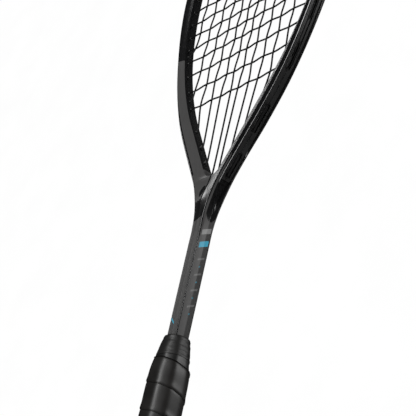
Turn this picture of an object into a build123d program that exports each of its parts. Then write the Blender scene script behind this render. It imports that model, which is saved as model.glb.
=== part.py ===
from build123d import *

import os
from math import ceil, cos, pi, radians, sin, tan

# Squash racket with a teardrop hoop: carbon frame, bumper guard, grommet strips, strings and handle.
#
# Millimetres. The origin is the centre of the butt end, in the string plane. +Y runs along the racket
# to the tip, +X points right seen from the front, and +Z is the string plane's normal, to the front.
#
# Everything around the hoop is placed by its station and its rho. The station is the distance along the
# inner wall's right half, from the start of the straight throat wall to the tip, and rho is the distance
# outward from that wall. The beam is wider at the throat: there everything beyond the middle of the beam
# lies further out by the widening. The left half is the mirror image.

# ---------------------------------------------------------------- hoop and shaft
TIP_Y = 685.0
BUMPER_THICKNESS = 3.0
BEAM_WIDTH = 8.5
THROAT_WIDENING = 2.8
WIDENING_STATIONS = (55.0, 165.0)
MIDDLE_RHO = 4.0
BEAM_DEPTH = 15.0
INNER_HALF_WIDTH = 91.0
WIDEST_Y = 544.0
APEX_Y = 312.4
APEX_RADIUS = 10.5
THROAT_HALF_ANGLE = radians(31)
SHOULDER_TURN = radians(50)
INNER_FLAT_DEPTH = 8.4
INNER_CHAMFER = 2.0

SHAFT_START_Y = 4.0
SHAFT_WIDTH = 13.0
SHAFT_DEPTH = 12.5
NECK_RADIUS = 117.0
DEPTH_CHANGE_Y = (256.0, 302.0)
OUTER_EDGE_RADIUS = 2.1
TUBE_WALL = 1.4
THROAT_CAVITY_RHO = 3.8

# ---------------------------------------------------------------- string channel, grommets and bumper
CHANNEL_RHO = 6.5
CHANNEL_HALF = 3.0
CHANNEL_START = -8.0
STRIP_HALF = 2.9
STRIP_OUTER_RHO = 8.1
GROOVE_RHO = 7.1
GROOVE_HALF = 1.95
STRIP_END_GAP = 0.4
BUMPER_REACH = 77.3
BUMPER_HALF = 6.4
BUMPER_EDGE_RADIUS = 1.4
HOLE_RADIUS = 1.65
BARREL_RADIUS = 1.6
BORE_RADIUS = 0.8
NUB = 0.6
THROAT_NUB = 2.0
RECESS_RADIUS = 190.0
RECESS_HALF = 2.2

# ---------------------------------------------------------------- strings
STRING_RADIUS = 0.6
WEAVE_HEIGHT = 0.62
RETURN_RHO = 7.75
LANE_Z = 1.25
LANE_SLANT = 2.4
RETURN_STEP = 4.0
MAIN_X = (5.5, 17.0, 30.4, 43.8, 58.0, 73.8)
MAIN_TOP_X = (5.6, 17.2, 28.0, 44.8, 59.5, 77.5)
THROAT_HOLE_STATION = -4.0
MAIN_BOTTOM_Y = (331.2, 350.0, 370.0, 409.0, 465.5)
CROSS_START_Y = (399.0, 420.2, 440.1, 457.7)
CROSS_PITCH = 15.6
CROSS_COUNT = 17
KNOT_RADIUS = 1.5

# ---------------------------------------------------------------- handle: (y, width, depth) of rounded octagons
FOAM_SECTIONS = ((2.5, 26.6, 25.6), (132.0, 26.6, 25.6), (150.0, 22.6, 22.0), (166.0, 16.6, 16.4))
CAP_SECTIONS = ((0.0, 30.0, 29.0), (1.4, 31.4, 30.4), (24.0, 28.6, 27.6))
GRIP_SECTIONS = ((3.0, 34.4, 33.4), (30.0, 30.4, 29.4), (132.0, 30.4, 29.4), (150.0, 26.6, 26.0), (158.0, 23.6, 23.2))
FINISHING_SECTIONS = ((146.5, 28.2, 27.6), (158.0, 24.2, 23.8), (163.5, 19.8, 19.4))
COLLAR_SECTIONS = ((148.5, 28.8, 28.2), (158.0, 25.8, 25.4), (165.0, 20.8, 20.6), (171.0, 17.2, 16.8))
CORNER_SHARE = 0.27
OCTAGON_FILLET = 2.4
STAPLE_Y = 14.0
STAPLE_LENGTH = 8.0
STAPLE_WIRE = 0.7
STAPLE_LEG = 4.5
STAPLE_X = 6.0


def solve_pair(a, b, c, d, e, f):
    """The u and v of a*u + b*v = c and d*u + e*v = f."""
    scale = a * e - b * d
    return (c * e - b * f) / scale, (a * f - c * d) / scale


INNER_TIP_Y = TIP_Y - BUMPER_THICKNESS - BEAM_WIDTH
SIDE_RADIUS, STRAIGHT_LENGTH = solve_pair(
    1 - cos(THROAT_HALF_ANGLE),
    sin(THROAT_HALF_ANGLE),
    INNER_HALF_WIDTH - APEX_RADIUS * cos(THROAT_HALF_ANGLE),
    sin(THROAT_HALF_ANGLE),
    cos(THROAT_HALF_ANGLE),
    WIDEST_Y - APEX_Y - APEX_RADIUS * (1 - sin(THROAT_HALF_ANGLE)),
)
SHOULDER_RADIUS, TIP_RADIUS = solve_pair(
    1 - cos(SHOULDER_TURN),
    cos(SHOULDER_TURN),
    INNER_HALF_WIDTH,
    sin(SHOULDER_TURN),
    1 - sin(SHOULDER_TURN),
    INNER_TIP_Y - WIDEST_Y,
)
STRETCHES = (
    (STRAIGHT_LENGTH, None),
    (SIDE_RADIUS * THROAT_HALF_ANGLE, SIDE_RADIUS),
    (SHOULDER_RADIUS * SHOULDER_TURN, SHOULDER_RADIUS),
    (TIP_RADIUS * (pi / 2 - SHOULDER_TURN), TIP_RADIUS),
)
STRETCH_ENDS = [sum(length for length, _ in STRETCHES[: n + 1]) for n in range(len(STRETCHES))]
TIP_STATION = STRETCH_ENDS[-1]
BUMPER_STATION = TIP_STATION - BUMPER_REACH
CROSS_Y = CROSS_START_Y + tuple(
    CROSS_START_Y[-1] + CROSS_PITCH * n for n in range(1, CROSS_COUNT - len(CROSS_START_Y) + 1)
)


# ---------------------------------------------------------------- the inner wall as a curve
def locate(station):
    """The inner wall's point and heading. A negative station is on the throat wall's line produced."""
    x = APEX_RADIUS * cos(THROAT_HALF_ANGLE)
    y = APEX_Y + APEX_RADIUS * (1 - sin(THROAT_HALF_ANGLE))
    heading = pi / 2 - THROAT_HALF_ANGLE
    for length, radius in STRETCHES:
        step = min(station, length)
        if radius is None:
            x += step * cos(heading)
            y += step * sin(heading)
        else:
            turned = heading + step / radius
            x += radius * (sin(turned) - sin(heading))
            y += radius * (cos(heading) - cos(turned))
            heading = turned
        station -= step
        if station <= 0:
            break
    return x, y, heading


def widening(station):
    """How much wider the beam is here than round the upper hoop."""
    low, high = WIDENING_STATIONS
    share = min(1, max(0, (high - station) / (high - low)))
    return THROAT_WIDENING * share * share * (3 - 2 * share)


def place(station, rho):
    """The point at a station and rho, on the right half."""
    x, y, heading = locate(station)
    if rho > MIDDLE_RHO:
        rho += widening(station)
    return x + rho * sin(heading), y - rho * cos(heading)


def find_station(axis, value, low, high):
    """The station between low and high where the wall's x (axis 0) or y (axis 1) has a value."""
    rising = locate(high)[axis] > locate(low)[axis]
    for _ in range(60):
        middle = (low + high) / 2
        if (locate(middle)[axis] < value) == rising:
            low = middle
        else:
            high = middle
    return low


def widening_edge(rho):
    """The wall moved outward by rho, along the stretch where the beam's width changes."""
    low, high = WIDENING_STATIONS
    points = [place(low + (high - low) * n / 10, rho) for n in range(11)]
    headings = [locate(station)[2] for station in WIDENING_STATIONS]
    return Spline(*points, tangents=[(cos(heading), sin(heading)) for heading in headings])


def wall_edges(start, end, rho):
    """The wall between two stations, moved outward by rho, as lines and arcs, and a spline where it widens."""
    low, high = WIDENING_STATIONS
    stops = STRETCH_ENDS
    if rho > MIDDLE_RHO:
        stops = [stop for stop in stops if not low < stop < high] + [low, high]
    stops = [start] + sorted(stop for stop in stops if start < stop < end) + [end]
    edges = []
    for first, last in zip(stops, stops[1:]):
        if rho > MIDDLE_RHO and (first, last) == (low, high):
            edges.append(widening_edge(rho))
        elif last <= STRAIGHT_LENGTH:
            edges.append(Line(place(first, rho), place(last, rho)))
        else:
            edges.append(ThreePointArc(place(first, rho), place((first + last) / 2, rho), place(last, rho)))
    return edges


def band(start, end, inner_rho, outer_rho, half_depth):
    """A strip of the right half, between two stations and two rhos."""
    outline = wall_edges(start, end, inner_rho) + wall_edges(start, end, outer_rho)
    outline.append(Line(place(start, inner_rho), place(start, outer_rho)))
    outline.append(Line(place(end, inner_rho), place(end, outer_rho)))
    return extrude(make_face(outline), half_depth, both=True)


def both_halves(shape):
    return shape + mirror(shape, about=Plane.YZ)


# ---------------------------------------------------------------- string holes
def hole_axis(station, side, rho):
    x, y = place(station, rho)
    heading = locate(station)[2]
    return Plane(origin=(side * x, y, 0), z_dir=(side * sin(heading), -cos(heading), 0))


def rod(station, side, inner_rho, outer_rho, radius):
    """A round bar along the wall's normal, from inside the hoop to the outer half of the beam."""
    length = outer_rho + widening(station) - inner_rho
    return Solid.make_cylinder(radius, length, hole_axis(station, side, inner_rho))


def widest_station():
    return STRETCH_ENDS[1]


def main_stations():
    """For each main, counted outward: the stations of its throat hole and of its tip hole."""
    bottoms = [THROAT_HOLE_STATION] + [find_station(1, y, 0, widest_station()) for y in MAIN_BOTTOM_Y]
    tops = [find_station(0, x, widest_station(), TIP_STATION) for x in MAIN_TOP_X]
    return list(zip(bottoms, tops))


def cross_stations():
    return [find_station(1, y, 0, TIP_STATION) for y in CROSS_Y]


MAIN_STATIONS = main_stations()
CROSS_STATIONS = cross_stations()
HOLE_STATIONS = sorted([s for pair in MAIN_STATIONS for s in pair] + CROSS_STATIONS)


def nub_length(station):
    """How far a barrel stands into the hoop: the lower throat holes have the larger rims."""
    return THROAT_NUB if station < STRAIGHT_LENGTH * 0.8 else NUB


# ---------------------------------------------------------------- carbon frame
def shaft_corner():
    """The neck arc's ends: y on the shaft's side and station on the throat beam's outer line."""
    outer_x, _ = place(0, BEAM_WIDTH)
    corner = (SHAFT_WIDTH / 2 - outer_x) / sin(THROAT_HALF_ANGLE)
    tangent = NECK_RADIUS * tan(THROAT_HALF_ANGLE / 2)
    return place(corner, BEAM_WIDTH)[1] - tangent, corner + tangent


def frame_outline():
    """The frame's outline in the string plane, without the hoop's opening."""
    shaft_top, beam_start = shaft_corner()
    side = SHAFT_WIDTH / 2
    outline = [
        Line((0, SHAFT_START_Y), (side, SHAFT_START_Y)),
        Line((side, SHAFT_START_Y), (side, shaft_top)),
        TangentArc((side, shaft_top), place(beam_start, BEAM_WIDTH), tangent=(0, 1)),
    ]
    outline += wall_edges(beam_start, TIP_STATION, BEAM_WIDTH)
    outline.append(Line(place(TIP_STATION, BEAM_WIDTH), (0, SHAFT_START_Y)))
    return both_halves(make_face(outline))


def hoop_opening(rho):
    """The hoop's opening, widened by rho all round."""
    outline = [TangentArc((0, APEX_Y - rho), place(0, rho), tangent=(1, 0))]
    outline += wall_edges(0, TIP_STATION, rho)
    outline.append(Line(place(TIP_STATION, rho), (0, APEX_Y - rho)))
    return both_halves(make_face(outline))


def side_profile():
    """The frame seen from the side: the shaft is thinner than the hoop."""
    low, high = DEPTH_CHANGE_Y
    middle = (low + high) / 2
    shaft_z = SHAFT_DEPTH / 2
    hoop_z = BEAM_DEPTH / 2
    outline = [
        Line((SHAFT_START_Y, 0), (SHAFT_START_Y, shaft_z)),
        Line((SHAFT_START_Y, shaft_z), (low, shaft_z)),
        Bezier((low, shaft_z), (middle, shaft_z), (middle, hoop_z), (high, hoop_z)),
        Line((high, hoop_z), (TIP_Y, hoop_z)),
        Line((TIP_Y, hoop_z), (TIP_Y, 0)),
        Line((TIP_Y, 0), (SHAFT_START_Y, 0)),
    ]
    half = make_face(outline)
    return Plane.YZ * (half + mirror(half, about=Plane.XZ))


def frame_envelope():
    """The frame's outer shape, with rounded long edges and no opening."""
    body = extrude(frame_outline(), BEAM_DEPTH, both=True)
    body &= extrude(side_profile(), 2 * INNER_HALF_WIDTH, both=True)
    long_edges = [e for e in body.edges() if abs(e.center().Z) > 1 and e.center().Y > SHAFT_START_Y + 1]
    return fillet(long_edges, OUTER_EDGE_RADIUS)


def hoop_cutter():
    flat = extrude(hoop_opening(0), BEAM_DEPTH, both=True)
    inner = Pos(0, 0, INNER_FLAT_DEPTH / 2) * hoop_opening(0)
    outer = Pos(0, 0, BEAM_DEPTH / 2) * hoop_opening(INNER_CHAMFER)
    bevel = loft([inner, outer], ruled=True)
    return flat + bevel + mirror(bevel, about=Plane.XY)


def tube_cavity():
    """The right leg's hollow: up the shaft, through the throat and round the hoop to the tip."""
    outer_rho = CHANNEL_RHO - TUBE_WALL
    flat_half = INNER_FLAT_DEPTH / 2
    shaft_half = SHAFT_DEPTH / 2 - TUBE_WALL
    leg_top = shaft_corner()[0] + 8
    leg_inner = TUBE_WALL / 2
    leg_outer = SHAFT_WIDTH / 2 - TUBE_WALL
    hoop = band(0, TIP_STATION, TUBE_WALL, outer_rho, flat_half)
    hoop += band(0, TIP_STATION, 2 * TUBE_WALL, outer_rho, BEAM_DEPTH / 2 - TUBE_WALL)
    leg = Pos((leg_inner + leg_outer) / 2, (SHAFT_START_Y + leg_top) / 2, 0) * Box(
        leg_outer - leg_inner, leg_top - SHAFT_START_Y, 2 * shaft_half
    )
    throat = Polyline(
        (leg_inner, leg_top), (leg_outer, leg_top), place(0, THROAT_CAVITY_RHO), place(0, TUBE_WALL), close=True
    )
    return hoop + leg + extrude(make_face(throat), flat_half, both=True)


def neck_recess():
    """A shallow tapering hollow in the neck's side wall, below the grommet strip's end."""
    shaft_top, _ = shaft_corner()
    high_x, high_y = place(CHANNEL_START, CHANNEL_RHO)
    low = (SHAFT_WIDTH / 2 + 0.05, shaft_top + 2)
    outside = (SHAFT_WIDTH / 2 + 9, high_y)
    outline = [
        RadiusArc((high_x, high_y), low, RECESS_RADIUS),
        Line(low, outside),
        Line(outside, (high_x, high_y)),
    ]
    return extrude(make_face(outline), RECESS_HALF, both=True)


def carbon_frame(envelope):
    body = envelope - hoop_cutter()
    body -= both_halves(band(CHANNEL_START, TIP_STATION, CHANNEL_RHO, BEAM_WIDTH + 4, CHANNEL_HALF))
    body -= both_halves(neck_recess())
    body -= both_halves(tube_cavity())
    drills = [
        rod(station, side, -4, BEAM_WIDTH + 4, HOLE_RADIUS) for side in (-1, 1) for station in HOLE_STATIONS
    ]
    return body - drills


# ---------------------------------------------------------------- bumper guard and grommet strips
def barrels(low, high, side):
    return [
        rod(station, side, -nub_length(station), CHANNEL_RHO + 0.3, BARREL_RADIUS)
        for station in HOLE_STATIONS
        if low < station < high
    ]


def bores(low, high, side):
    return [
        rod(station, side, -3, BEAM_WIDTH + 4, BORE_RADIUS) for station in HOLE_STATIONS if low < station < high
    ]


def grommet_strip(side):
    low = CHANNEL_START
    high = BUMPER_STATION - STRIP_END_GAP
    strip = band(low, high, CHANNEL_RHO, STRIP_OUTER_RHO, STRIP_HALF)
    strip -= band(low - 1, high + 1, GROOVE_RHO, BEAM_WIDTH, GROOVE_HALF)
    if side < 0:
        strip = mirror(strip, about=Plane.YZ)
    return strip + barrels(low, high, side) - bores(low, high, side)


def bumper_guard():
    base = band(BUMPER_STATION, TIP_STATION, CHANNEL_RHO, BEAM_WIDTH + 0.5, STRIP_HALF)
    cap = band(BUMPER_STATION, TIP_STATION, BEAM_WIDTH, BEAM_WIDTH + BUMPER_THICKNESS, BUMPER_HALF)
    cap = both_halves(cap)
    outer_edges = [
        e
        for e in cap.edges()
        if abs(e.center().Z) > BUMPER_HALF - 0.1 and e.length > BUMPER_THICKNESS + 1
    ]
    outer_edges = sorted(outer_edges, key=lambda e: e.length)[len(outer_edges) // 2 :]
    cap = fillet(outer_edges, BUMPER_EDGE_RADIUS)
    guard = cap + both_halves(base)
    guard -= both_halves(band(BUMPER_STATION - 1, TIP_STATION, GROOVE_RHO, BEAM_WIDTH + 5, GROOVE_HALF))
    for side in (-1, 1):
        guard = guard + barrels(BUMPER_STATION, TIP_STATION, side) - bores(BUMPER_STATION, TIP_STATION, side)
    return guard


# ---------------------------------------------------------------- strings
def tube(points):
    """A string along straight runs with mitred corners."""
    start = Vector(*points[0])
    section = Plane(origin=start, z_dir=Vector(*points[1]) - start) * Circle(STRING_RADIUS)
    return sweep(section, path=Polyline(*points), transition=Transition.RIGHT)


def bent_tube(points):
    """A string round a gentle bend, as a loft through circles."""
    path = [Vector(*point) for point in points]
    sections = []
    for n, point in enumerate(path):
        direction = path[min(n + 1, len(path) - 1)] - path[max(n - 1, 0)]
        sections.append(Plane(origin=point, x_dir=(0, 0, 1), z_dir=direction) * Circle(STRING_RADIUS))
    return loft(sections, ruled=True)


def hole_points(station, side):
    """A string's corner inside the hoop and its end past the outer wall, at one hole."""
    bend_rho = -nub_length(station) - STRING_RADIUS - 0.1
    if station < 0:
        bend_rho -= 0.8
    bend = hole_axis(station, side, bend_rho).origin
    out = hole_axis(station, side, RETURN_RHO + STRING_RADIUS / 2).origin
    return tuple(bend), tuple(out)


def return_run(first, last, side, lane, open_end=False):
    """The string in the outer groove between two holes, in its own lane beside the holes' centre line."""
    start = first + LANE_SLANT
    end = last if open_end else last - LANE_SLANT
    steps = ceil((end - start) / RETURN_STEP)
    stations = [start + (end - start) * n / steps for n in range(steps + 1)]
    points = [(*place(first, RETURN_RHO), 0)]
    points += [(*place(station, RETURN_RHO), lane) for station in stations]
    if not open_end:
        points.append((*place(last, RETURN_RHO), 0))
    return bent_tube([(side * x, y, z) for x, y, z in points])


def weave_side(main, cross):
    """+1 where the main passes in front of the cross, -1 where it passes behind."""
    return -1 if (main + cross) % 2 == 0 else 1


def main_string():
    count = len(MAIN_X)
    runs = []
    for side in (-1, 1):
        for n in range(count):
            index = count - 1 - n if side < 0 else count + n
            low, high = MAIN_STATIONS[n]
            low_bend, low_out = hole_points(low, side)
            high_bend, high_out = hole_points(high, side)
            points = [low_out, low_bend]
            for number, y in enumerate(CROSS_Y, start=1):
                if low_bend[1] + 4 < y < high_bend[1] - 4:
                    points.append((side * MAIN_X[n], y, WEAVE_HEIGHT * weave_side(index, number)))
            runs.append(tube(points + [high_bend, high_out]))
        for n in (0, 2, 4):
            runs.append(return_run(MAIN_STATIONS[n][0], MAIN_STATIONS[n + 1][0], side, LANE_Z))
        for n in (2, 4):
            runs.append(return_run(MAIN_STATIONS[n][1], MAIN_STATIONS[n - 1][1], side, LANE_Z))
        runs.append(return_run(MAIN_STATIONS[0][1], TIP_STATION, side, LANE_Z, open_end=True))
        runs.append(knot(MAIN_STATIONS[-1][1], side))
    return runs[0] + runs[1:]


def knot(station, side):
    centre = hole_axis(station, side, -NUB - KNOT_RADIUS - 0.2).origin
    return Pos(*centre) * Sphere(KNOT_RADIUS)


def cross_string():
    order = [(-1, n) for n in reversed(range(len(MAIN_X)))] + [(1, n) for n in range(len(MAIN_X))]
    runs = []
    for number, (y, station) in enumerate(zip(CROSS_Y, CROSS_STATIONS), start=1):
        left_bend, left_out = hole_points(station, -1)
        right_bend, right_out = hole_points(station, 1)
        points = [left_out, left_bend]
        for index, (side, n) in enumerate(order):
            x = side * MAIN_X[n]
            if left_bend[0] + 2 < x < right_bend[0] - 2:
                points.append((x, y, -WEAVE_HEIGHT * weave_side(index, number)))
        runs.append(tube(points + [right_bend, right_out]))
        if number < len(CROSS_Y):
            side = 1 if number % 2 else -1
            runs.append(return_run(station, CROSS_STATIONS[number], side, -LANE_Z))
    runs.append(knot(CROSS_STATIONS[-1], 1))
    return runs[0] + runs[1:]


# ---------------------------------------------------------------- handle
def octagon_loft(sections):
    """A solid through rounded octagons, each given as its y, width and depth."""
    faces = []
    for y, width, depth in sections:
        corner = CORNER_SHARE * min(width, depth)
        outline = chamfer(Rectangle(width, depth).vertices(), corner)
        outline = fillet(outline.vertices(), OCTAGON_FILLET)
        faces.append(Plane(origin=(0, y, 0), x_dir=(1, 0, 0), z_dir=(0, 1, 0)) * outline)
    return loft(faces, ruled=True)


def staples():
    """Two staples in front and two behind, each a crown on the cap's flat with two legs in the foam."""
    surface = CAP_SECTIONS[-1][2] / 2 + 0.55
    pieces = []
    for face in (-1, 1):
        for x in (-STAPLE_X, STAPLE_X):
            crown = Pos(x, STAPLE_Y, face * surface) * Box(STAPLE_LENGTH, STAPLE_WIRE, STAPLE_WIRE)
            for end in (-1, 1):
                leg_x = x + end * (STAPLE_LENGTH - STAPLE_WIRE) / 2
                leg_z = face * (surface - STAPLE_LEG / 2)
                crown += Pos(leg_x, STAPLE_Y, leg_z) * Box(STAPLE_WIRE, STAPLE_WIRE, STAPLE_LEG)
            pieces.append(crown)
    return Part() + pieces


def handle_parts(envelope):
    foam = octagon_loft(FOAM_SECTIONS)
    cap = octagon_loft(CAP_SECTIONS)
    grip = octagon_loft(GRIP_SECTIONS)
    finishing = octagon_loft(FINISHING_SECTIONS)
    collar = octagon_loft(COLLAR_SECTIONS)
    wires = staples()
    return {
        "foam_handle": foam - envelope - wires,
        "butt_cap": cap - foam - wires,
        "butt_cap_staples": wires,
        "grip_tape": grip - foam - cap - wires,
        "finishing_tape": finishing - grip - foam,
        "rubber_collar": collar - finishing - grip - foam - envelope,
    }


# ---------------------------------------------------------------- all nodes
def build_nodes():
    envelope = frame_envelope()
    nodes = {
        "carbon_frame": carbon_frame(envelope),
        "bumper_guard": bumper_guard(),
        "grommet_strip_left": grommet_strip(-1),
        "grommet_strip_right": grommet_strip(1),
        "main_string": main_string(),
        "cross_string": cross_string(),
    }
    nodes.update(handle_parts(envelope))
    return nodes


if __name__ == "__main__":
    os.makedirs("parts", exist_ok=True)
    for name, shape in build_nodes().items():
        export_step(shape, f"parts/{name}.step")
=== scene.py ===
import math
from math import cos, pi, radians, sin, tan

import bmesh
import bpy
import numpy as np
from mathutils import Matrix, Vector, noise


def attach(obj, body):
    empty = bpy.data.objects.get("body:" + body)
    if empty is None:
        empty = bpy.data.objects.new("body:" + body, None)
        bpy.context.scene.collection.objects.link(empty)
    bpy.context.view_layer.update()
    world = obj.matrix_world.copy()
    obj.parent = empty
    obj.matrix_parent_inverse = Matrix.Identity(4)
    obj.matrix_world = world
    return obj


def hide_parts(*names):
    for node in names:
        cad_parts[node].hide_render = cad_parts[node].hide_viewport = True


# Looks for the squash racket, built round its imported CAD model.
#
# Lengths are written in millimetres and turned into metres where a mesh is made. The frame is the CAD
# model's: the origin at the butt end's centre, +Y to the tip, +X right seen from the front, +Z to the front.
# Places round the hoop are given by station, the distance along the inner wall from the throat to the tip,
# and by rho, the distance outward from that wall, as in the CAD model.

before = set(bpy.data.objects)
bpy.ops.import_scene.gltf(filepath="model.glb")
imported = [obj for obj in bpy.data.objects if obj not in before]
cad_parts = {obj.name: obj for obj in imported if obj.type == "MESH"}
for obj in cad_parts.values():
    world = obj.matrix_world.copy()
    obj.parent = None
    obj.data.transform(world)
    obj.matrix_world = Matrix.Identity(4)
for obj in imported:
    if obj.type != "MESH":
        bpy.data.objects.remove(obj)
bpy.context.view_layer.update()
MM = 0.001

# ---------------------------------------------------------------- the CAD model's driving dimensions
TIP_Y = 685.0
BUMPER_THICKNESS = 3.0
BEAM_WIDTH = 8.5
THROAT_WIDENING = 2.8
WIDENING_STATIONS = (55.0, 165.0)
BEAM_HALF = 7.5
INNER_HALF_WIDTH = 91.0
WIDEST_Y = 544.0
APEX_Y = 312.4
APEX_RADIUS = 10.5
THROAT_HALF_ANGLE = radians(31)
SHOULDER_TURN = radians(50)
INNER_FLAT_HALF = 4.2
SHAFT_START_Y = 4.0
SHAFT_HALF_WIDTH = 6.5
SHAFT_HALF_DEPTH = 6.25
NECK_RADIUS = 117.0
DEPTH_CHANGE_Y = (256.0, 302.0)
CHANNEL_DEPTH = 2.0
STRIP_START = -8.0
BUMPER_REACH = 77.3
NUB = 0.6
THROAT_NUB = 2.0
RETURN_RHO = 7.75
LANE_Z = 1.25
LANE_SLANT = 2.4
MAIN_X = (5.5, 17.0, 30.4, 43.8, 58.0, 73.8)
MAIN_TOP_X = (5.6, 17.2, 28.0, 44.8, 59.5, 77.5)
THROAT_HOLE_STATION = -4.0
MAIN_BOTTOM_Y = (331.2, 350.0, 370.0, 409.0, 465.5)
CROSS_START_Y = (399.0, 420.2, 440.1, 457.7)
CROSS_PITCH = 15.6
CROSS_COUNT = 17


# ---------------------------------------------------------------- the inner wall as a curve
def solve_pair(a, b, c, d, e, f):
    """The u and v of a*u + b*v = c and d*u + e*v = f."""
    scale = a * e - b * d
    return (c * e - b * f) / scale, (a * f - c * d) / scale


INNER_TIP_Y = TIP_Y - BUMPER_THICKNESS - BEAM_WIDTH
SIDE_RADIUS, STRAIGHT_LENGTH = solve_pair(
    1 - cos(THROAT_HALF_ANGLE),
    sin(THROAT_HALF_ANGLE),
    INNER_HALF_WIDTH - APEX_RADIUS * cos(THROAT_HALF_ANGLE),
    sin(THROAT_HALF_ANGLE),
    cos(THROAT_HALF_ANGLE),
    WIDEST_Y - APEX_Y - APEX_RADIUS * (1 - sin(THROAT_HALF_ANGLE)),
)
SHOULDER_RADIUS, TIP_RADIUS = solve_pair(
    1 - cos(SHOULDER_TURN),
    cos(SHOULDER_TURN),
    INNER_HALF_WIDTH,
    sin(SHOULDER_TURN),
    1 - sin(SHOULDER_TURN),
    INNER_TIP_Y - WIDEST_Y,
)
STRETCHES = (
    (STRAIGHT_LENGTH, None),
    (SIDE_RADIUS * THROAT_HALF_ANGLE, SIDE_RADIUS),
    (SHOULDER_RADIUS * SHOULDER_TURN, SHOULDER_RADIUS),
    (TIP_RADIUS * (pi / 2 - SHOULDER_TURN), TIP_RADIUS),
)
TIP_STATION = sum(length for length, _ in STRETCHES)
WIDEST_STATION = STRETCHES[0][0] + STRETCHES[1][0]
BUMPER_STATION = TIP_STATION - BUMPER_REACH
CROSS_Y = CROSS_START_Y + tuple(
    CROSS_START_Y[-1] + CROSS_PITCH * n for n in range(1, CROSS_COUNT - len(CROSS_START_Y) + 1)
)


def smooth(value, low, high):
    """0 below low, 1 above high, and a soft step between."""
    share = min(1, max(0, (value - low) / (high - low)))
    return share * share * (3 - 2 * share)


def mix(a, b, share):
    return a + (b - a) * share


def locate(station):
    """The inner wall's point and heading. A negative station is on the throat wall's line produced."""
    x = APEX_RADIUS * cos(THROAT_HALF_ANGLE)
    y = APEX_Y + APEX_RADIUS * (1 - sin(THROAT_HALF_ANGLE))
    heading = pi / 2 - THROAT_HALF_ANGLE
    for length, radius in STRETCHES:
        step = min(station, length)
        if radius is None:
            x += step * cos(heading)
            y += step * sin(heading)
        else:
            turned = heading + step / radius
            x += radius * (sin(turned) - sin(heading))
            y += radius * (cos(heading) - cos(turned))
            heading = turned
        station -= step
        if station <= 0:
            break
    return x, y, heading


def widening(station):
    """How much wider the beam is here than round the upper hoop."""
    low, high = WIDENING_STATIONS
    return THROAT_WIDENING * (1 - smooth(station, low, high))


def beam_width(station):
    return BEAM_WIDTH + widening(station)


# The shown moulding is a little fuller than the CAD's: at the throat, at the channel's lips along the lower
# hoop, and round the hoop's widest part. Each fades over a range of stations.
THROAT_EXTRA = 0.9
THROAT_EXTRA_STATIONS = (40, 120)
LIP_REACH = 1.3
LIP_STATIONS = (100, 160)
SIDE_EXTRA = 1.2
SIDE_EXTRA_STATIONS = (160, 240)
SIDE_EXTRA_ENDS = (BUMPER_STATION - 45, BUMPER_STATION - 8)


def lip_reach(station):
    """How much further the string channel's lips stand out along the lower hoop."""
    return LIP_REACH * (1 - smooth(station, *LIP_STATIONS))


def shown_width(station):
    """The shown moulding's width, from the inner wall to the lips."""
    throat = THROAT_EXTRA * (1 - smooth(station, *THROAT_EXTRA_STATIONS))
    side = SIDE_EXTRA * smooth(station, *SIDE_EXTRA_STATIONS) * (1 - smooth(station, *SIDE_EXTRA_ENDS))
    return beam_width(station) + throat + side + lip_reach(station)


def fuller(station):
    """How far the strip and the strings along it stand out beyond their CAD places."""
    return shown_width(station) - BEAM_WIDTH


def place(station, distance):
    """The point at a station and a real distance outward from the wall, on the right half."""
    x, y, heading = locate(station)
    return x + distance * sin(heading), y - distance * cos(heading)


def find_station(axis, value, low, high):
    """The station between low and high where the wall's x (axis 0) or y (axis 1) has a value."""
    rising = locate(high)[axis] > locate(low)[axis]
    for _ in range(60):
        middle = (low + high) / 2
        if (locate(middle)[axis] < value) == rising:
            low = middle
        else:
            high = middle
    return low


MAIN_STATIONS = list(
    zip(
        [THROAT_HOLE_STATION] + [find_station(1, y, 0, WIDEST_STATION) for y in MAIN_BOTTOM_Y],
        [find_station(0, x, WIDEST_STATION, TIP_STATION) for x in MAIN_TOP_X],
    )
)
# The pairs of holes between which the main string returns outside the hoop
MAIN_RETURNS = [(MAIN_STATIONS[n][0], MAIN_STATIONS[n + 1][0]) for n in (0, 2, 4)]
MAIN_RETURNS += [(MAIN_STATIONS[n][1], MAIN_STATIONS[n - 1][1]) for n in (2, 4)]
CROSS_STATIONS = [find_station(1, y, 0, TIP_STATION) for y in CROSS_Y]
HOLE_STATIONS = sorted([s for pair in MAIN_STATIONS for s in pair] + CROSS_STATIONS)


def nub_length(station):
    """How far a barrel stands into the hoop."""
    return THROAT_NUB if station < STRAIGHT_LENGTH * 0.8 else NUB


# ---------------------------------------------------------------- mesh making
def mark_edges(bm, sharp_angle, axis_angle):
    """Smooth faces, with hard edges past an angle. Edges on the racket's axis may have a smaller one."""
    for face in bm.faces:
        face.smooth = True
    for edge in bm.edges:
        on_axis = all(abs(vert.co.x) < 1e-7 for vert in edge.verts)
        limit = axis_angle if axis_angle and on_axis else sharp_angle
        edge.smooth = not (len(edge.link_faces) == 2 and edge.calc_face_angle(0) > radians(limit))


def finish_mesh(bm, name, sharp_angle=40, axis_angle=None):
    """Makes an object of the bmesh, with its normals outward and its hard edges marked."""
    bmesh.ops.recalc_face_normals(bm, faces=bm.faces)
    mark_edges(bm, sharp_angle, axis_angle)
    mesh = bpy.data.meshes.new(name)
    bm.to_mesh(mesh)
    bm.free()
    obj = bpy.data.objects.new(name, mesh)
    bpy.context.scene.collection.objects.link(obj)
    return obj


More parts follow.
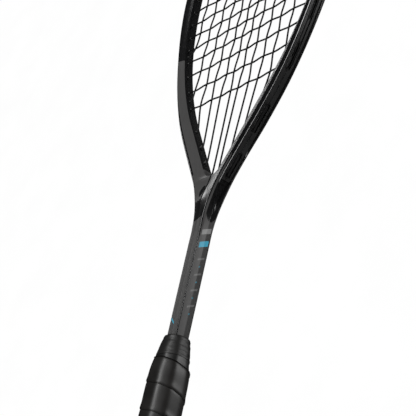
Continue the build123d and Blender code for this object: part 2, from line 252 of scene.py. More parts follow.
def add_rings(bm, rings, cap=True, **attributes):
    """Joins rings of points, in millimetres, into a tube. An attribute is given as rings of values."""
    floats = bm.verts.layers.float
    layers = {name: floats.get(name) or floats.new(name) for name in attributes}
    rows = []
    for number, ring in enumerate(rings):
        row = [bm.verts.new((x * MM, y * MM, z * MM)) for x, y, z in ring]
        for name, values in attributes.items():
            for vert, value in zip(row, values[number]):
                vert[layers[name]] = value
        rows.append(row)
    count = len(rows[0])
    for low, high in zip(rows, rows[1:]):
        for n in range(count):
            m = (n + 1) % count
            bm.faces.new((low[n], low[m], high[m], high[n]))
    if cap:
        bm.faces.new(rows[0])
        bm.faces.new(rows[-1])


def clean(bm, distance=0.0005):
    """Merges points closer than distance, in millimetres, and removes what has no area."""
    bmesh.ops.remove_doubles(bm, verts=bm.verts, dist=distance * MM)
    bmesh.ops.dissolve_degenerate(bm, edges=bm.edges, dist=distance * MM)


# ---------------------------------------------------------------- frame moulding
CURVE_POINTS = 4
CORNER_POINTS = CURVE_POINTS + 2
SUPPORT_GAP = 0.12
NECK_SLICES = 30
APEX_SLICES = 12
HOOP_SLICES = 150
CREST_Z = 8.0
CREST_INSET = 1.4
UPPER_CREST_INSET = 2.0
SHAFT_CREST_INSET = 0.8
UP_HOOP = (60, 190)
INNER_EDGE_Z = 3.4
INNER_EDGE_STATIONS = (10, 110)
INNER_SETBACK = 0.35
INNER_BEVEL = 0.8
BEVEL_SLOPE = 1.2
RIDGE_Z = 5.1
CHANNEL_MOUTH = 4.65
LIP = 0.2
NECK_WALL_SLOPE = 0.85
BACK_RIDGE_DROP = 0.7
BACK_CREST_REACH = 1.3
BACK_STATIONS = (15, 50)
VALLEY_Y = (287.0, 313.0)
VALLEY_LOW_Z = 2.2
CROTCH_Z = 3.0
RECESS_END_Y = 274.0
ON_AXIS = 1e-6
CREST_CORNER = 3
PANEL_MARGINS = (1.5, 0.5)
MARGIN_STATIONS = (60, 130)
# The neck's and the side walls' margins leave black strips along the shaft's crests: partly where the grey
# paint stops, partly a painted dark reflection of the rounded corners
NECK_MARGIN = 0.6
FLANK_MARGIN = 0.95
OUTSIDE = -2.0


def neck_geometry():
    """The neck arc's lower end y and its upper end's station on the throat beam's outer line."""
    outer_x, _ = place(0, shown_width(0))
    corner = (SHAFT_HALF_WIDTH - outer_x) / sin(THROAT_HALF_ANGLE)
    tangent = NECK_RADIUS * tan(THROAT_HALF_ANGLE / 2)
    return place(corner, shown_width(0))[1] - tangent, corner + tangent


NECK_LOW_Y, NECK_HIGH_STATION = neck_geometry()


def neck_outer(angle):
    """The outer contour's point on the neck arc, the angle counted from the shaft's side."""
    return (
        SHAFT_HALF_WIDTH + NECK_RADIUS * (1 - cos(angle)),
        NECK_LOW_Y + NECK_RADIUS * sin(angle),
    )


def axis_point(angle):
    """Where the neck's outer normal meets the racket's axis."""
    x, y = neck_outer(angle)
    return y + x * tan(angle)


def crotch_angle():
    low, high = 0.0, THROAT_HALF_ANGLE
    for _ in range(60):
        middle = (low + high) / 2
        if axis_point(middle) < APEX_Y:
            low = middle
        else:
            high = middle
    return low


def apex_path(distance):
    """A point of the inner wall, the distance counted from the apex round the arc and on up the wall."""
    arc = APEX_RADIUS * (pi / 2 - THROAT_HALF_ANGLE)
    if distance > arc:
        return place(distance - arc, 0)
    turn = distance / APEX_RADIUS
    return APEX_RADIUS * sin(turn), APEX_Y + APEX_RADIUS * (1 - cos(turn))


def half_depth(y):
    low, high = DEPTH_CHANGE_Y
    return mix(SHAFT_HALF_DEPTH, BEAM_HALF, smooth(y, low, high))


def slices():
    """Each slice of the right half, from the butt end to the tip: the inner point, the outer point and the
    station, which is None in the shaft and the neck."""
    found = []
    low_shaft = np.linspace(SHAFT_START_Y, 140, 8)
    high_shaft = np.linspace(150, NECK_LOW_Y - 2, 30)
    for y in np.concatenate((low_shaft, high_shaft)):
        found.append(((0, y), (SHAFT_HALF_WIDTH, y), None))
    crotch = crotch_angle()
    for n in range(NECK_SLICES):
        angle = crotch * n / NECK_SLICES
        found.append(((0, axis_point(angle)), neck_outer(angle), None))
    length = APEX_RADIUS * (pi / 2 - THROAT_HALF_ANGLE) + NECK_HIGH_STATION
    for n in range(APEX_SLICES):
        share = n / APEX_SLICES
        angle = mix(crotch, THROAT_HALF_ANGLE, share)
        found.append((apex_path(length * share), neck_outer(angle), None))
    for station in np.linspace(NECK_HIGH_STATION, TIP_STATION, HOOP_SLICES):
        found.append((place(station, 0), place(station, shown_width(station)), station))
    return found


def inner_corner(inner, station, crest_z):
    """The front inner corner's height and setback. On the axis it follows the valley between the beams."""
    if inner[0] < ON_AXIS:
        low, high = VALLEY_Y
        share = min(1, max(0, (inner[1] - low) / (high - low)))
        eased = share - max(0, share - 0.7) ** 2 / 0.6
        return mix(crest_z, VALLEY_LOW_Z, eased), 0.0
    return mix(CROTCH_Z, INNER_EDGE_Z, smooth(station or 0, *INNER_EDGE_STATIONS)), INNER_SETBACK


def outer_side(y, station, shaft):
    """The outer side's channel as (depth, half-width), its lip, the ridge beside it as (z, setback), and the
    flank's foot above the ridge as (distance past the width, z)."""
    if station is not None:
        up_hoop = smooth(station, *UP_HOOP)
        foot = (-mix(0.55, 1.3, up_hoop), RIDGE_Z + mix(0.45, 0.88, up_hoop))
        return (CHANNEL_DEPTH, CHANNEL_MOUTH), LIP, (RIDGE_Z, mix(0.2, 0.6, up_hoop)), foot
    start_y = place(STRIP_START, shown_width(0))[1]
    taper = min(1, max(0, (y - RECESS_END_Y) / (start_y - RECESS_END_Y)))
    depth = CHANNEL_DEPTH * smooth(taper, 0, 0.6) * mix(0.85, 1, smooth(y, start_y - 1.5, start_y))
    half = mix(0.3, CHANNEL_MOUTH - 0.2, taper)
    flange = smooth(taper, 0.35, 0.9)
    foot = (mix(mix(-0.4, -0.3, shaft), -0.55, flange), mix(5.6, RIDGE_Z + 0.45, flange))
    ridge = (mix(3.0, RIDGE_Z, flange), mix(1.8, 0.2, flange))
    return (depth, half), mix(LIP * flange, 0.3, shaft), ridge, foot


def back_side(front, station, cut, bevel):
    """The back's corners: the front's mirrored, with a sloping channel wall in the neck, a lower ridge and a
    fuller crest round the hoop, and the inner wall's edge where the CAD has it."""
    back = [(d, -z, setback) for d, z, setback in reversed(front)]
    if station is None:
        d, z, setback = back[0]
        back[0] = (d, z + NECK_WALL_SLOPE * cut, setback)
    else:
        share = smooth(station, *BACK_STATIONS)
        back[2:4] = [(d, z - BACK_RIDGE_DROP * share, setback) for d, z, setback in back[2:4]]
        d, z, setback = back[4]
        back[4] = (d + BACK_CREST_REACH * share, z, setback)
    if bevel:
        edge_z = -INNER_FLAT_HALF
        back[-2:] = [(bevel, edge_z - bevel * BEVEL_SLOPE, INNER_SETBACK), (0, edge_z, INNER_SETBACK)]
    return back


def profile(inner, outer, station):
    """A slice's corners as (distance from the inner point, z, setback), from the inner wall's front edge
    over the sloping front facet and round the string channel to the inner wall's back edge."""
    width = math.dist(inner, outer)
    y = outer[1]
    shaft = 1 - smooth(y, NECK_LOW_Y - 6, NECK_LOW_Y + 30)
    crest_z = mix(CREST_Z, BEAM_HALF, shaft)
    inner_z, inner_setback = inner_corner(inner, station, crest_z)
    (depth, half), lip, (ridge_z, ridge_setback), (foot_d, foot_z) = outer_side(y, station, shaft)
    inset = mix(CREST_INSET, UPPER_CREST_INSET, smooth(station or 0, *UP_HOOP))
    edge = mix(inset + lip_reach(station or 0), SHAFT_CREST_INSET, shaft)
    bevel = 0.0 if inner[0] < ON_AXIS else INNER_BEVEL
    bevel_z = inner_z + bevel * BEVEL_SLOPE
    crown = mix(0.2, 0.06, shaft)
    cut = min(1, depth)
    front = [
        (0, inner_z, inner_setback),
        (bevel, bevel_z, inner_setback),
        ((width - edge) / 2, (bevel_z + crest_z) / 2 + crown, 2.0),
        (width - edge, crest_z, mix(0.45, 0.5, shaft)),
        (width + foot_d, foot_z, mix(0.35, 1.0, shaft)),
        (width + lip, ridge_z, ridge_setback),
        (mix(width + lip - 0.75 * cut, width + 0.7, shaft), half, mix(0.12, 0.9, shaft)),
        (mix(width + 0.26 * (1 - cut), width + 0.7, shaft) - depth, half, 0.12),
    ]
    return front + back_side(front, station, cut, bevel)


def rounded_profile(corners):
    """The profile's points, with each corner eased by a short curve between two supports on the flats."""
    points = []
    count = len(corners)
    for n, (d, z, setback) in enumerate(corners):
        here = Vector((d, z))
        before = Vector(corners[n - 1][:2]) - here
        after = Vector(corners[(n + 1) % count][:2]) - here
        low = min(setback, before.length * 0.45)
        high = min(setback, after.length * 0.45)
        start, stop = here + before.normalized() * low, here + after.normalized() * high
        points.append(here + before.normalized() * min(low + SUPPORT_GAP, before.length * 0.49))
        for k in range(CURVE_POINTS):
            t = k / (CURVE_POINTS - 1)
            points.append(start * (1 - t) ** 2 + here * 2 * t * (1 - t) + stop * t * t)
        points.append(here + after.normalized() * min(high + SUPPORT_GAP, after.length * 0.49))
    return points


def panel_insets(corners, points, heights, station):
    """How far each point lies inside its painted panel's border, in millimetres: the facets' panels, which
    stop short of the crest and of the inner edge, and the side walls' panels between the two crests. In the
    neck and the shaft the black strips left along the crests are partly where the grey paint stops and
    partly a painted dark reflection of the rounded corners."""
    crest_d = corners[CREST_CORNER][0]
    low, high = PANEL_MARGINS
    outer_margin = NECK_MARGIN if station is None else mix(low, high, smooth(station, *MARGIN_STATIONS))
    inner_margin = -1.0 if station is None else INNER_BEVEL + 0.15
    crest_z = max(abs(z) for z in heights)
    last = len(corners) - 1 - CREST_CORNER
    facets, flanks = [], []
    for n, point in enumerate(points):
        corner = n // CORNER_POINTS
        on_facet = not CREST_CORNER < corner < last
        on_flank = CREST_CORNER <= corner <= last
        facets.append(min(crest_d - outer_margin - point.x, point.x - inner_margin) if on_facet else OUTSIDE)
        flanks.append(crest_z - FLANK_MARGIN - abs(heights[n]) if on_flank else OUTSIDE)
    return facets, flanks


def frame_half(bm, side):
    rings, facets, flanks = [], [], []
    for inner, outer, station in slices():
        corners = profile(inner, outer, station)
        points = rounded_profile(corners)
        along = (Vector(outer) - Vector(inner)).normalized()
        ring = []
        for point in points:
            x = inner[0] + along.x * point.x
            y = inner[1] + along.y * point.x
            ring.append((side * x, y, point.y * half_depth(y) / BEAM_HALF))
        rings.append(ring)
        on_facets, on_flanks = panel_insets(corners, points, [z for _, _, z in ring], station)
        facets.append(on_facets)
        flanks.append(on_flanks)
    add_rings(bm, rings, cap=False, facet=facets, flank=flanks)


def frame_moulding():
    bm = bmesh.new()
    for side in (-1, 1):
        frame_half(bm, side)
    inside = [f for f in bm.faces if all(abs(v.co.x) < 1e-7 for v in f.verts)]
    bmesh.ops.delete(bm, geom=inside, context="FACES")
    clean(bm)
    rim = [e for e in bm.edges if e.is_boundary]
    bmesh.ops.edgeloop_fill(bm, edges=rim)
    return finish_mesh(bm, "frame_moulding", 50, 8)


# ---------------------------------------------------------------- grommet strips
STRIP_TOP = 8.1
STRIP_FLOOR = 6.3
STRIP_HALF = 4.5
STRIP_STEP = 1.0
SLOT_HALF = 2.0
SLOT_DEPTH = 1.1
SLOT_MARGIN = 1.7
BARREL_RADIUS = 1.6
BORE_RADIUS = 0.85
BARREL_SIDES = 20


def slot_spans(side):
    """The stretches where a string returns along the strip, as pairs of stations."""
    pairs = list(MAIN_RETURNS)
    for number in range(1, len(CROSS_STATIONS)):
        if (number % 2 == 1) == (side > 0):
            pairs.append((CROSS_STATIONS[number - 1], CROSS_STATIONS[number]))
    return [(min(pair) - SLOT_MARGIN, max(pair) + SLOT_MARGIN) for pair in pairs]


def slot_half(station, spans):
    """The slot's half-width: full between its rounded ends, and 0 where there is no slot."""
    widest = 0.0
    for low, high in spans:
        inside = min(station - low, high - station)
        if inside > 0:
            share = min(1, inside / SLOT_HALF)
            widest = max(widest, SLOT_HALF * math.sqrt(1 - (1 - share) ** 2))
    return widest


def strip_ring(station, side, spans):
    top = STRIP_TOP + fuller(station)
    floor_at = STRIP_FLOOR + fuller(station)
    half = slot_half(station, spans)
    share = half / SLOT_HALF
    rim = mix(0.5, 1, share)
    front = [
        (floor_at, STRIP_HALF),
        (top - 0.3, STRIP_HALF),
        (top - 0.05, STRIP_HALF - 0.25),
        (top, half + 0.95 * rim),
        (top + 0.5 * rim, half + 0.62 * rim),
        (top + 0.5 * rim, half + 0.3 * rim),
        (top - 0.1 * share, half),
        (top - SLOT_DEPTH * smooth(share, 0, 0.5), half * 0.94),
    ]
    points = front + [(distance, -z) for distance, z in reversed(front)]
    return [outward(station, side, distance, z) for distance, z in points]


def add_barrel(bm, station, side):
    """A grommet's barrel where it stands out of the inner wall, with a rounded rim round its bore."""
    x, y, heading = locate(station)
    axis = Vector((side * sin(heading), -cos(heading), 0))
    across = Vector((cos(heading), side * sin(heading), 0))
    base, up = Vector((side * x, y, 0)), Vector((0, 0, 1))
    reach = nub_length(station)
    outline = (
        (BARREL_RADIUS, 1.2),
        (BARREL_RADIUS, 0.3 - reach),
        (BARREL_RADIUS - 0.1, 0.1 - reach),
        (BARREL_RADIUS - 0.35, -reach),
        (BORE_RADIUS + 0.1, -reach),
        (BORE_RADIUS, 0.12 - reach),
        (BORE_RADIUS, 1.1),
    )
    rings = []
    for radius, along in outline:
        turns = [2 * pi * k / BARREL_SIDES for k in range(BARREL_SIDES)]
        rings.append([base + axis * along + (across * cos(t) + up * sin(t)) * radius for t in turns])
    add_rings(bm, rings)


def grommet_strip(side, name):
    bm = bmesh.new()
    spans = slot_spans(side)
    low, high = STRIP_START, BUMPER_STATION - 0.4
    count = round((high - low) / STRIP_STEP)
    add_rings(bm, [strip_ring(low + (high - low) * n / count, side, spans) for n in range(count + 1)])
    clean(bm, 0.002)
    for station in HOLE_STATIONS:
        if low < station < high:
            add_barrel(bm, station, side)
    return finish_mesh(bm, name, 30)


# ---------------------------------------------------------------- strings
STRING_RADIUS = 0.74
WEAVE_HEIGHT = 0.56
STRING_SIDES = 10
STRING_STEP = 2.2
RETURN_STEP = 4.0
RETURN_RISE = 1.2
CROSSING_GAP = 4.0
KNOT_LOOP_RADIUS = 1.0
KNOT_TURNS = 1.35
KNOT_POINTS = 10
KNOT_RISE = 1.3
KNOT_STEP = 0.6
THROAT_BEND = 0.8


def smooth_path(points, step):
    """Points along a Catmull-Rom curve through the given ones, about a step apart."""
    path = [Vector(p) for p in points]
    ends = [2 * path[0] - path[1]] + path + [2 * path[-1] - path[-2]]
    found = []
    for before, start, stop, after in zip(ends, ends[1:], ends[2:], ends[3:]):
        count = max(1, math.ceil((stop - start).length / step))
        bend = 2 * before - 5 * start + 4 * stop - after
        twist = 3 * start - before - 3 * stop + after
        for k in range(count):
            t = k / count
            found.append(0.5 * (2 * start + (stop - before) * t + bend * t * t + twist * t**3))
    return found + [path[-1]]


def add_string(bm, path):
    """A round string along a path, with attributes for the turn round it and the distance along it."""
    rings, turns, runs = [], [], []
    run = 0.0
    normal = Vector((0, 0, 1))
    for n, point in enumerate(path):
        direction = (path[min(n + 1, len(path) - 1)] - path[max(n - 1, 0)]).normalized()
        normal = (normal - direction * normal.dot(direction)).normalized()
        across = direction.cross(normal)
        if n:
            run += (point - path[n - 1]).length
        angles = [2 * pi * k / STRING_SIDES for k in range(STRING_SIDES)]
        rings.append([point + (normal * cos(a) + across * sin(a)) * STRING_RADIUS for a in angles])
        turns.append([abs(2 * k / STRING_SIDES - 1) for k in range(STRING_SIDES)])
        runs.append([run] * STRING_SIDES)
    add_rings(bm, rings, turn=turns, run=runs)


def outward(station, side, distance, z=0.0):
    x, y = place(station, distance)
    return side * x, y, z


def bend_points(station, side):
    """A string's way through a hole: inside the hoop, at the nub's mouth and past the outer wall."""
    bend = -nub_length(station) - STRING_RADIUS - 0.1
    if station < 0:
        bend -= THROAT_BEND
    reaches = (RETURN_RHO + fuller(station), 2.0, bend)
    return [outward(station, side, reach) for reach in reaches]


def return_path(first, last, side, lane, open_end=False):
    """A string's run along the strip's slot from one hole to the next, in a lane beside the middle."""
    start = first + LANE_SLANT
    end = last if open_end else last - LANE_SLANT
    steps = math.ceil(abs(end - start) / RETURN_STEP)
    stations = [start + (end - start) * n / steps for n in range(steps + 1)]
    points = [outward(first, side, RETURN_RHO - RETURN_RISE + fuller(first))]
    points += [outward(s, side, RETURN_RHO + fuller(s), lane) for s in stations]
    if not open_end:
        points.append(outward(last, side, RETURN_RHO - RETURN_RISE + fuller(last)))
    return points


def weave_side(main, cross):
    """+1 where the main passes in front of the cross, -1 where it passes behind."""
    return -1 if (main + cross) % 2 == 0 else 1


def add_knot(bm, station, side):
    """A small overhand knot against the nub: the string's end wound once round itself."""
    x, y, heading = locate(station)
    inward = Vector((-side * sin(heading), cos(heading), 0))
    sideways = Vector((cos(heading) * side, sin(heading), 0))
    base = Vector((side * x, y, 0)) + inward * (NUB + 0.9)
    loop = []
    for k in range(KNOT_POINTS + 1):
        turn = 2 * pi * KNOT_TURNS * k / KNOT_POINTS
        offset = (sideways * cos(turn) + Vector((0, 0, 1)) * sin(turn)) * KNOT_LOOP_RADIUS
        loop.append(base + offset + inward * (KNOT_RISE * k / KNOT_POINTS))
    loop.append(loop[-1] + inward * 1.6 + sideways * 1.2)
    add_string(bm, smooth_path(loop, KNOT_STEP))


def string_mesh(name, paths, knots):
    bm = bmesh.new()
    for path in paths:
        add_string(bm, smooth_path(path, STRING_STEP))
    for station, side in knots:
        add_knot(bm, station, side)
    return finish_mesh(bm, name, 60)


def main_strings():
    count = len(MAIN_X)
    paths, knots = [], []
    for side in (-1, 1):
        for n in range(count):
            index = count - 1 - n if side < 0 else count + n
            low, high = MAIN_STATIONS[n]
            bottom, top = bend_points(low, side), bend_points(high, side)
            middle = []
            for number, y in enumerate(CROSS_Y, start=1):
                if bottom[-1][1] + CROSSING_GAP < y < top[-1][1] - CROSSING_GAP:
                    middle.append((side * MAIN_X[n], y, WEAVE_HEIGHT * weave_side(index, number)))
            paths.append(bottom + middle + top[::-1])
        paths += [return_path(first, last, side, LANE_Z) for first, last in MAIN_RETURNS]
        paths.append(return_path(MAIN_STATIONS[0][1], TIP_STATION, side, LANE_Z, open_end=True))
        knots.append((MAIN_STATIONS[-1][1], side))
    return string_mesh("main_string_woven", paths, knots)


def cross_strings():
    order = [(-1, n) for n in reversed(range(len(MAIN_X)))] + [(1, n) for n in range(len(MAIN_X))]
    paths = []
    for number, (y, station) in enumerate(zip(CROSS_Y, CROSS_STATIONS), start=1):
        left, right = bend_points(station, -1), bend_points(station, 1)
        middle = []
        for index, (side, n) in enumerate(order):
            x = side * MAIN_X[n]
            if left[-1][0] + 2 < x < right[-1][0] - 2:
                middle.append((x, y, -WEAVE_HEIGHT * weave_side(index, number)))
        paths.append(left + middle + right[::-1])
        if number < len(CROSS_Y):
            side = 1 if number % 2 else -1
            paths.append(return_path(station, CROSS_STATIONS[number], side, -LANE_Z))
    return string_mesh("cross_string_woven", paths, [(CROSS_STATIONS[-1], 1)])


# ---------------------------------------------------------------- handle
# (y, width, depth) of the rounded octagon under the wrap's outer face
GRIP_SECTIONS = (
    (3.0, 34.0, 33.0),
    (14.0, 32.6, 31.6),
    (30.0, 30.3, 29.3),
    (126.0, 30.4, 29.4),
    (138.0, 29.9, 29.0),
    (146.0, 28.1, 27.4),
    (158.0, 22.2, 21.9),
)
WRAP_PITCH = 21.8
WRAP_START_Y = -30.7
WRAP_END_Y = 145.8
WRAP_END_SLANT = 3.5
WRAP_END_TURN = radians(34.5)
WRAP_ROWS = (0.0, 0.012, 0.035, 0.07, 0.12, 0.18, 0.25, 0.35, 0.5, 0.65, 0.8, 0.9, 0.95, 0.98, 0.995)
WRAP_COLUMNS = 96
OCTAGON_POWER = 3.4
DIAGONAL_SHARE = 1.03


def section_at(sections, y):
    """The width and depth at y, eased between the given sections."""
    if y <= sections[0][0]:
        return sections[0][1:]
    for (y0, w0, d0), (y1, w1, d1) in zip(sections, sections[1:]):
        if y <= y1:
            share = (y - y0) / (y1 - y0)
            return mix(w0, w1, share), mix(d0, d1, share)
    return sections[-1][1:]


def octagon_point(turn, width, depth, power=OCTAGON_POWER):
    """A point of a soft octagon at an angle from +X towards +Z. A higher power gives sharper corners."""
    reach = 0.0
    for k in range(8):
        facing = cos(turn - k * pi / 4)
        if facing > 0:
            diagonal = (width + depth) / 2 * DIAGONAL_SHARE
            half = (width, diagonal, depth, diagonal)[k % 4] / 2
            reach += (facing / half) ** (power * 4)
    radius = reach ** (-1 / (power * 4))
    return radius * cos(turn), radius * sin(turn)


def wrap_end(turn):
    """The slanting upper edge of the wrap at an angle round the handle."""
    return WRAP_END_Y + WRAP_END_SLANT * sin(turn - WRAP_END_TURN)


def wrap_rise(share):
    """How far the wrap stands out at a share of its width: a lapping step with a pinched lower edge, a soft
    crown, and an upper edge that tucks under the next turn."""
    lap = 0.55 * (1 - smooth(share, 0.0, 0.3))
    pinch = -0.35 * (1 - smooth(share, 0.0, 0.05))
    crown = 0.12 * sin(pi * share)
    tuck = -0.25 * smooth(share, 0.93, 1.0)
    return lap + pinch + crown + tuck


def wrap_column(bm, seam_layer, number):
    """One column of the wrap's points, from the lower edge of the tape to its upper edge."""
    turn = 2 * pi * number / WRAP_COLUMNS
    base = WRAP_START_Y + WRAP_PITCH * (number / WRAP_COLUMNS - 1)
    column = []
    for share in WRAP_ROWS:
        y = base + WRAP_PITCH * share
        y_kept = min(wrap_end(turn), max(GRIP_SECTIONS[0][0], y))
        width, depth = section_at(GRIP_SECTIONS, y_kept)
        wobble = noise.noise(Vector((cos(turn) * 0.8, y * 0.03, sin(turn) * 0.8))) * 0.12
        extra = 2 * (wrap_rise(share) + wobble)
        x, z = octagon_point(turn, width + extra, depth + extra)
        vert = bm.verts.new((x * MM, y_kept * MM, z * MM))
        vert[seam_layer] = share
        column.append(vert)
    return column


def grip_wrap():
    """A tape wound up the handle from the butt, each turn lapping over the one below it."""
    bm = bmesh.new()
    seam_layer = bm.verts.layers.float.new("seam")
    turns = int((WRAP_END_Y + WRAP_END_SLANT - WRAP_START_Y) / WRAP_PITCH) + 3
    grid = [wrap_column(bm, seam_layer, number) for number in range(turns * WRAP_COLUMNS + 1)]
    for number, (near, far) in enumerate(zip(grid, grid[1:])):
        for n in range(len(WRAP_ROWS) - 1):
            bm.faces.new((near[n], near[n + 1], far[n + 1], far[n]))
        if number + 1 + WRAP_COLUMNS < len(grid):
            above, above_far = grid[number + WRAP_COLUMNS], grid[number + 1 + WRAP_COLUMNS]
            bm.faces.new((near[-1], above[0], above_far[0], far[-1]))
    clean(bm, 0.004)
    flat = [f for f in bm.faces if f.calc_area() < 1e-12]
    bmesh.ops.delete(bm, geom=flat, context="FACES")
    loose = [v for v in bm.verts if not v.link_faces]
    bmesh.ops.delete(bm, geom=loose, context="VERTS")
    bmesh.ops.holes_fill(bm, edges=[e for e in bm.edges if e.is_boundary], sides=0)
    return finish_mesh(bm, "grip_wrap_spiral", 55)


COLLAR_SECTIONS = (
    (150.6, 24.6, 24.2),
    (150.9, 25.6, 25.2),
    (152.0, 25.5, 25.1),
    (155.0, 24.5, 24.2),
    (160.0, 22.8, 22.6),
    (165.0, 21.2, 21.0),
    (166.8, 20.7, 20.5),
    (167.8, 19.8, 19.6),
    (168.4, 16.2, 15.9),
)
TAPE_SECTIONS = (
    (139.0, 28.0, 27.2),
    (144.0, 27.0, 26.3),
    (149.0, 25.5, 25.0),
    (154.0, 24.1, 23.7),
    (158.0, 22.8, 22.5),
)
COLLAR_FOLDS = (151, 168, 0.28)
TAPE_FOLDS = (140, 160, 0.1)
ROUND_POWER = 2.2
ROUNDING_YS = (146, 168)
RING_STEP = 0.45
RING_COLUMNS = 96


def between_sections(sections, step):
    """The sections with others set evenly between them, about a step apart."""
    found = []
    for (y0, w0, d0), (y1, w1, d1) in zip(sections, sections[1:]):
        count = max(1, round((y1 - y0) / step))
        for share in (k / count for k in range(count)):
            found.append((mix(y0, y1, share), mix(w0, w1, share), mix(d0, d1, share)))
    return found + [sections[-1]]


def wrinkled_ring(name, sections, folds):
    """A ring round the handle that turns from octagonal to round up the taper, with soft folds. folds is
    the y where they begin, the y where they end, and their height."""
    bm = bmesh.new()
    rings = []
    start, stop, size = folds
    for y, width, depth in between_sections(sections, RING_STEP):
        ring = []
        strength = size * smooth(y, start, start + 2.5) * (1 - smooth(y, stop - 3, stop))
        power = mix(OCTAGON_POWER, ROUND_POWER, smooth(y, *ROUNDING_YS))
        for k in range(RING_COLUMNS):
            turn = 2 * pi * k / RING_COLUMNS
            broad = noise.noise(Vector((cos(turn) * 1.1, y * 0.42, sin(turn) * 1.1)))
            fine = noise.noise(Vector((cos(turn) * 3.1 + 9, y * 0.9, sin(turn) * 3.1)))
            extra = 2 * strength * (broad + 0.4 * fine)
            x, z = octagon_point(turn, width + extra, depth + extra, power)
            ring.append((x, y, z))
        rings.append(ring)
    add_rings(bm, rings)
    return finish_mesh(bm, name, 60)


# ---------------------------------------------------------------- materials
class Nodes:
    """A material's node tree, with short calls for its nodes."""

    def __init__(self, name, **settings):
        self.material = bpy.data.materials.new(name)
        self.material.use_nodes = True
        self.tree = self.material.node_tree
        self.shader = next(n for n in self.tree.nodes if n.type == "BSDF_PRINCIPLED")
        for socket, value in settings.items():
            self.shader.inputs[socket.replace("_", " ")].default_value = value
        self.coordinates = self.add("ShaderNodeTexCoord").outputs["Object"]

    def add(self, kind, inputs=(), **properties):
        node = self.tree.nodes.new(kind)
        for name, value in properties.items():
            setattr(node, name, value)
        for socket, value in dict(inputs).items():
            self.put(node.inputs[socket], value)
        return node

    def put(self, socket, value):
        if isinstance(value, bpy.types.NodeSocket):
            self.tree.links.new(value, socket)
        else:
            socket.default_value = value

    def math(self, operation, a, b=0.0, clamp=False):
        node = self.add("ShaderNodeMath", {0: a, 1: b}, operation=operation, use_clamp=clamp)
        return node.outputs[0]

    def plus(self, a, b, clamp=False):
        return self.math("ADD", a, b, clamp=clamp)

    def minus(self, a, b):
        return self.math("SUBTRACT", a, b)

    def times(self, first, *others):
        for other in others:
            first = self.math("MULTIPLY", first, other)
        return first

    def square(self, value):
        return self.math("POWER", value, 2.0)

    def magnitude(self, value):
        return self.math("ABSOLUTE", value)

    def noise(self, scale, detail, roughness, stretch=(1, 1, 1)):
        mapping = self.add("ShaderNodeMapping", {"Vector": self.coordinates, "Scale": stretch})
        inputs = {"Vector": mapping.outputs[0], "Scale": scale, "Detail": detail, "Roughness": roughness}
        return self.add("ShaderNodeTexNoise", inputs).outputs["Fac"]

    def voronoi(self, scale, feature="F1"):
        inputs = {"Vector": self.coordinates, "Scale": scale}
        return self.add("ShaderNodeTexVoronoi", inputs, feature=feature).outputs["Distance"]

    def span(self, value, low, high, to_low=0.0, to_high=1.0, soft=False):
        """The value's range from low to high mapped to another, and held beyond its ends."""
        inputs = {"Value": value, "From Min": low, "From Max": high, "To Min": to_low, "To Max": to_high}
        kind = "SMOOTHSTEP" if soft else "LINEAR"
        return self.add("ShaderNodeMapRange", inputs, interpolation_type=kind).outputs[0]

    def band(self, value, low, high, soft=0.00012):
        """1 where the value lies between low and high, with a thin soft edge."""
        rise = self.span(value, low - soft, low + soft)
        return self.times(rise, self.span(value, high - soft, high + soft, 1.0, 0.0))

    def mix(self, share, a, b):
        return self.add("ShaderNodeMix", {0: share, 2: a, 3: b}, data_type="FLOAT").outputs[0]

    def blend(self, share, a, b):
        """A mix of two colours."""
        node = self.add("ShaderNodeMix", data_type="RGBA")
        self.put(node.inputs["Factor"], share)
        self.put(node.inputs[6], a)
        self.put(node.inputs[7], b)
        return node.outputs[2]

    def value(self, name):
        return self.add("ShaderNodeAttribute", attribute_name=name).outputs["Fac"]

    def axes(self):
        return self.add("ShaderNodeSeparateXYZ", {0: self.coordinates}).outputs

    def bump(self, height, distance, strength=1.0, normal=None):
        inputs = {"Height": height, "Distance": distance, "Strength": strength}
        if normal:
            inputs["Normal"] = normal
        return self.add("ShaderNodeBump", inputs).outputs[0]

    def out(self, colour, rough, normal, coat=None):
        """The material, with what drives its shader's colour, roughness, normal and coat."""
        links = {"Base Color": colour, "Roughness": rough, "Normal": normal, "Coat Weight": coat}
        for socket, value in links.items():
            if value is not None:
                self.put(self.shader.inputs[socket], value)
        return self.material


# Where the lacquer changes, in metres: as ranges of y, of x for CREASE_SHADE_X, or as (x, y) for the leaf.
# The strip at CREASE_SHADE_X is a painted shadow: black in place of the grey panel beside the crease, as in
# a narrow slot
PANEL_TOP = (0.4868, 0.4877)
LEFT_PANEL_END = (0.2885, 0.2895)
RIGHT_PANEL_END = (0.284, 0.302)
CREASE_SHADE_X = (-0.00135, -0.0001)
CREASE_SHADE_START = (0.286, 0.2875)
LEAF_CENTRE = (-0.0034, 0.2968)
LEAF_HALF = (0.0019, 0.0058)
LEAF_LEAN = radians(7.24)
SHAFT_FRONT_END = 0.2700
SHAFT_SIDE_END = 0.2685
# The plain marks on the shaft, in metres
MARK_SLANT = 0.55
PALE_BAR = (0.2575, 0.2620)
CYAN_BAR = (0.2460, 0.2510)
BAR_HALF = (0.0040, 0.0042)
MARK_RUN = (0.1835, 0.2364)
MARK_PITCH = 0.0136
DASH = (0.0004, 0.0020)
DASH_HALF = (0.0031, 0.0033)
DASH_Z = -0.0004
DOT_CENTRE = (0.0080, -0.0002)
DOT_RADIUS = 0.0008
TICK_SLANT = 1.1
TICK = (0.1775, 0.1793)
TICK_X = (-0.0049, -0.0005)


def outside_leaf(n, x, y):
    """0 in the dark leaf on the left beam's facets beside the crease, 1 elsewhere."""
    x, y = n.minus(x, LEAF_CENTRE[0]), n.minus(y, LEAF_CENTRE[1])
    along = n.plus(n.times(y, cos(LEAF_LEAN)), n.times(x, sin(LEAF_LEAN)))
    aside = n.minus(n.times(x, cos(LEAF_LEAN)), n.times(y, sin(LEAF_LEAN)))
    aside, along = n.times(aside, 1 / LEAF_HALF[0]), n.times(along, 1 / LEAF_HALF[1])
    return n.span(n.plus(n.square(along), n.square(aside)), 0.8, 1.15)


